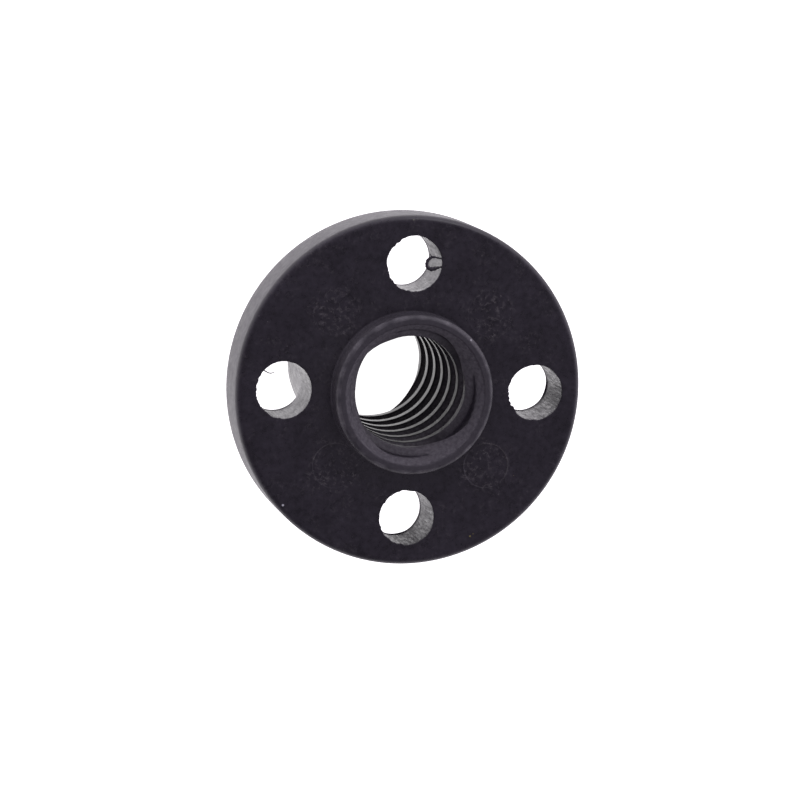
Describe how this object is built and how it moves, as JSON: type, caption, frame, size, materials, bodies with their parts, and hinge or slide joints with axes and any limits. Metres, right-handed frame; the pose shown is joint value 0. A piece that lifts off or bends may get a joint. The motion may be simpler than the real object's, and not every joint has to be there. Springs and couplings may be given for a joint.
{
  "type": "lead screw nut",
  "caption": "Flanged lead screw nut moulded in one piece: a multi-start trapezoidal thread runs through a round bolt flange, a short front boss and a longer rear hub.",
  "frame": {"origin": "on the bore axis, in the plane of the flange's mounting face, where the rear hub starts", "axes": "+Z along the bore axis, out of the front boss; one bolt hole lies on +X"},
  "size_m": [0.022, 0.022, 0.015],
  "materials": {
    "black_acetal": "moulded black acetal, satin to slightly glossy"
  },
  "bodies": {
    "root": {"lead_screw_nut": "black_acetal"}
  },
  "joints": []
}
